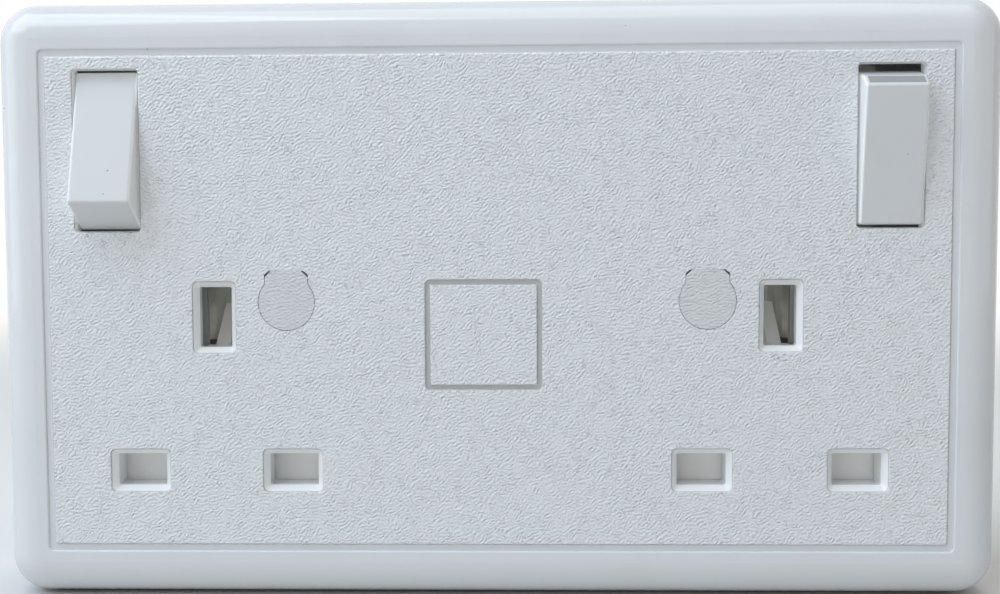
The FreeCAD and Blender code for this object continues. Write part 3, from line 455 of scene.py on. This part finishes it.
# Coil springs, copied from the CAD springs, which are hidden
for side in ("left", "right"):
    node = frame["nodes"][f"shutter_spring_{side}"]
    spring = bpy.data.objects.new(f"coil_spring_{side}", node.data.copy())
    bpy.context.scene.collection.objects.link(spring)
    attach(spring, "housing")
    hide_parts(node.name)
    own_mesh(spring)


# Camera at the photograph's place, with its turn in degrees
CAMERA_LENS = 52.93
CAMERA_SHIFT = (0.0298, 0.0219)
CAMERA_PLACE = (0.00326, -0.238, 0.01261)
CAMERA_TURN = (85.892, 1.896, -0.178)


def make_camera():
    data = bpy.data.cameras.new("camera")
    data.lens = CAMERA_LENS
    data.sensor_width = 36.0
    data.shift_x, data.shift_y = CAMERA_SHIFT
    data.clip_start = 0.01
    camera = bpy.data.objects.new("camera", data)
    camera.location = CAMERA_PLACE
    camera.rotation_mode = "ZYX"
    camera.rotation_euler = [math.radians(angle) for angle in CAMERA_TURN]
    bpy.context.scene.collection.objects.link(camera)
    bpy.context.scene.camera = camera


# Lights: place in metres, width and height, watts, and tint
LIGHTS = {
    "key_light": ((-0.5, -0.3, 0.68), 0.75, 0.75, 5.8, (0.77, 0.88, 1.0)),
    "left_light": ((-0.75, -0.16, 0.12), 0.5, 0.5, 0.9, (0.95, 1.0, 1.0)),
    "top_light": ((0.05, -0.15, 0.8), 0.6, 0.6, 2.0, (1.0, 0.99, 0.91)),
    "right_light": ((0.85, -0.25, 0.1), 0.5, 0.5, 0.6, (1.0, 0.96, 0.9)),
    "low_light": ((-0.25, -0.85, 0.0), 1.0, 0.06, 1.65, (1.0, 0.99, 0.965)),
    "front_light": ((0.15, -0.85, 0.35), 0.5, 0.5, 0.4, (0.9, 0.95, 1.0)),
    "back_light": ((0.35, 0.8, 0.5), 0.6, 0.6, 3.0, (1.0, 1.0, 1.0)),
    "strip_light": ((-0.1, -0.53, 0.87), 1.6, 0.02, 0.7, (1.0, 1.0, 1.0)),
}
NO_MIRROR_IMAGE = ("low_light", "back_light")
MIRROR_IMAGE_ONLY = ("strip_light",)
WORLD_FILL = 0.13

# Floor: radius in metres, and where it fades to white, in millimetres from the middle
FLOOR_RADIUS = 1.5
FLOOR_FADE = (200.0, 700.0)
FLOOR_PAPER = colour(0.82, 0.82, 0.82)
FLOOR_BOUNCE = colour(0.63, 0.612, 0.58)
PLAIN_WHITE = colour(1.0, 1.0, 1.0)


def soft_light(name, aim, place, width, height, power, tint):
    data = bpy.data.lights.new(name, "AREA")
    data.shape = "RECTANGLE"
    data.size = width
    data.size_y = height
    data.energy = power
    data.color = tint
    light = bpy.data.objects.new(name, data)
    light.location = place
    light.rotation_mode = "QUATERNION"
    light.rotation_quaternion = (aim - Vector(place)).to_track_quat("-Z", "Y")
    bpy.context.scene.collection.objects.link(light)
    return light


def in_sight(start):
    """1 for what the camera sees, straight or in a reflection, and 0 for bounced light."""
    seen = start.add("ShaderNodeLightPath", {}, {}, "Is Camera Ray")
    for ray in ("Is Glossy Ray", "Is Transmission Ray"):
        seen = start.sum("MAXIMUM", seen, start.add("ShaderNodeLightPath", {}, {}, ray))
    return seen


def make_world():
    """Soft light all round, and plain white wherever the world itself is seen."""
    world = bpy.data.worlds.new("studio")
    world.use_nodes = True
    tree = world.node_tree
    tree.nodes.clear()
    start = Socket(tree, None)
    seen = in_sight(start)
    fill = start.add("ShaderNodeBackground", {}, {"Color": PLAIN_WHITE, "Strength": WORLD_FILL})
    white = start.add("ShaderNodeBackground", {}, {"Color": PLAIN_WHITE, "Strength": 1.0})
    both = start.add("ShaderNodeMixShader", {}, {0: seen, 1: fill, 2: white})
    start.add("ShaderNodeOutputWorld", {}, {"Surface": both})
    bpy.context.scene.world = world


def make_floor():
    bpy.ops.object.select_all(action="DESELECT")
    bpy.ops.mesh.primitive_circle_add(vertices=96, radius=FLOOR_RADIUS, fill_type="NGON",
                                      location=(0, 0, plate_low.z))
    bpy.ops.object.transform_apply(location=True)
    floor = bpy.context.object
    floor.name = "floor"
    material, place, axes = new_finish("floor_paper")
    reach = place.add("ShaderNodeVectorMath", {"operation": "LENGTH"}, {"Vector": place}, "Value")
    paper = place.add("ShaderNodeBsdfDiffuse", {}, {"Color": FLOOR_PAPER})
    glow = place.add("ShaderNodeEmission", {}, {"Color": PLAIN_WHITE, "Strength": 1.0})
    pale = place.add("ShaderNodeMixShader", {}, {0: reach.between(*FLOOR_FADE), 1: paper, 2: glow})
    dim = place.add("ShaderNodeBsdfDiffuse", {}, {"Color": FLOOR_BOUNCE})
    both = place.add("ShaderNodeMixShader", {}, {0: in_sight(place), 1: dim, 2: pale})
    place.add("ShaderNodeOutputMaterial", {}, {"Surface": both})
    floor.data.materials.append(material)


make_camera()
make_world()
make_floor()
middle = (plate_low + plate_high) / 2
for name, facts in LIGHTS.items():
    light = soft_light(name, middle, *facts)
    light.visible_glossy = name not in NO_MIRROR_IMAGE
    light.visible_diffuse = name not in MIRROR_IMAGE_ONLY
bpy.context.scene.view_settings.view_transform = "Standard"
